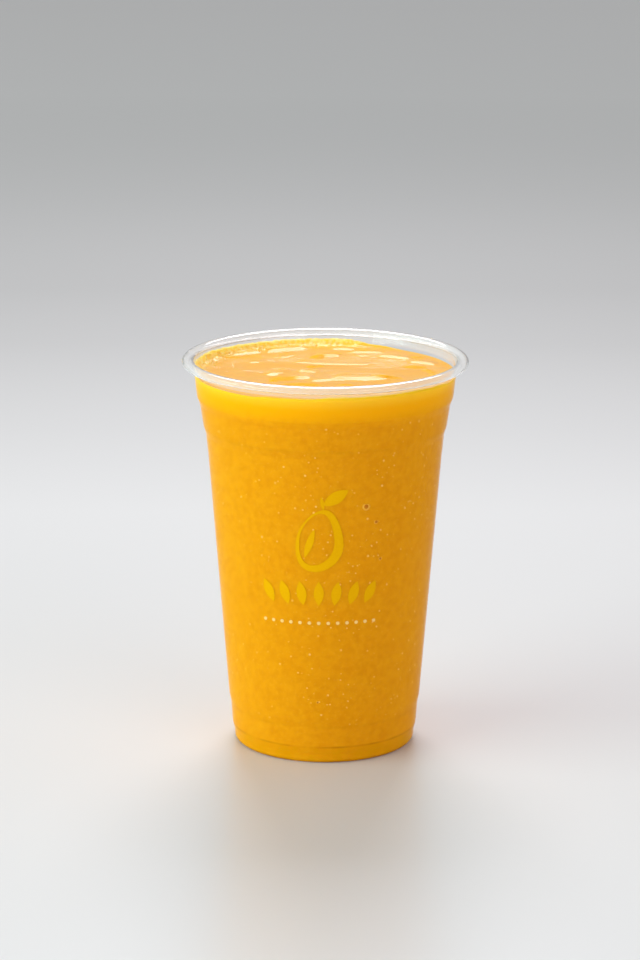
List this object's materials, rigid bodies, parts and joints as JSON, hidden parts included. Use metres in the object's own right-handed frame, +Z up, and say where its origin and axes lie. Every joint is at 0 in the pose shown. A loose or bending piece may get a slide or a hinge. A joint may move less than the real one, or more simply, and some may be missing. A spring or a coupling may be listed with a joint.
{
  "type": "mango smoothie in a clear takeaway cup",
  "caption": "Thick opaque mango smoothie filling a tall clear plastic cup with a rolled rim, stepped bands under the rim, a tapered wall and a stepped foot.",
  "frame": {"origin": "centre of the circle that the cup stands on, in the plane it stands on", "axes": "+Z up along the cup's axis towards the rim; -Y is the front, where the print is"},
  "size_m": [0.098, 0.098, 0.1358],
  "materials": {
    "clear_plastic": "clear, thin and glossy",
    "mango_puree": "opaque, thick, wet and glossy"
  },
  "bodies": {
    "root": {"cup": "clear_plastic", "smoothie": "mango_puree"}
  },
  "joints": []
}
